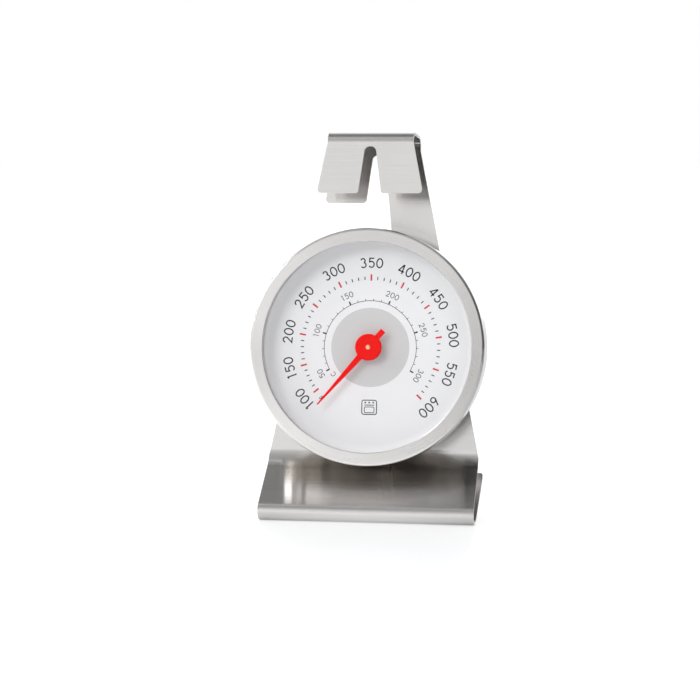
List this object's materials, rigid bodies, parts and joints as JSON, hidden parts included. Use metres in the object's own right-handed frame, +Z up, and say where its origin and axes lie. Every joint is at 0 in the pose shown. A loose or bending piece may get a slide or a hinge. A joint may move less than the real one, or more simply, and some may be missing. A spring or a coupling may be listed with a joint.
{
  "type": "oven thermometer",
  "caption": "Round bimetal dial thermometer on a folded steel stand with a slotted rack hook on top and a rack clip in its base; the red pointer turns.",
  "frame": {"origin": "middle of the footprint, on the surface that the thermometer stands on", "axes": "+Z up, -Y to the front (the dial faces -Y and a little up), +X to the right of the person who reads the dial"},
  "size_m": [0.0698, 0.034, 0.1143],
  "materials": {
    "stand_steel": "brushed stainless steel, grain across the width",
    "bezel_steel": "satin stainless steel with a polished outer edge",
    "case_steel": "drawn stainless steel, satin",
    "rivet_steel": "turned steel",
    "glass": "clear flat glass",
    "gasket": "grey heat-proof fibre",
    "dial_white": "white satin enamel",
    "dial_ink": "matt dark grey printing ink",
    "dial_ink_red": "matt red printing ink",
    "dial_grey": "matt light grey printing ink",
    "pointer_red": "gloss red",
    "brass": "turned brass",
    "bimetal": "rolled bimetal strip"
  },
  "bodies": {
    "stand_and_case": {"stand_bracket": "stand_steel", "bezel_ring": "bezel_steel", "case_cup": "case_steel", "lens_glass": "glass", "lens_gasket": "gasket", "dial_spacer_ring": "dial_white", "dial_plate": "dial_white", "dial_seat_ring": "case_steel", "movement_bridge": "case_steel", "case_rivets": "rivet_steel", "front_bush": "brass", "rear_bearing": "brass", "bimetal_coil": "bimetal", "coil_anchor_post": "rivet_steel", "coil_anchor_rivet": "rivet_steel"},
    "pointer": {"pointer_needle": "pointer_red", "pointer_bush": "brass", "pointer_staff": "brass", "coil_collet": "brass", "staff_clip": "rivet_steel"}
  },
  "joints": [
    {"name": "pointer_turn", "type": "hinge", "parent": "stand_and_case", "child": "pointer", "pos_m": [0, -0.0067, 0.05111], "axis": [0, 0.9954, -0.0958], "range_deg": [-25, 273], "stiffness_Nm_per_rad": 0.001, "deforming": ["bimetal_coil"]}
  ]
}
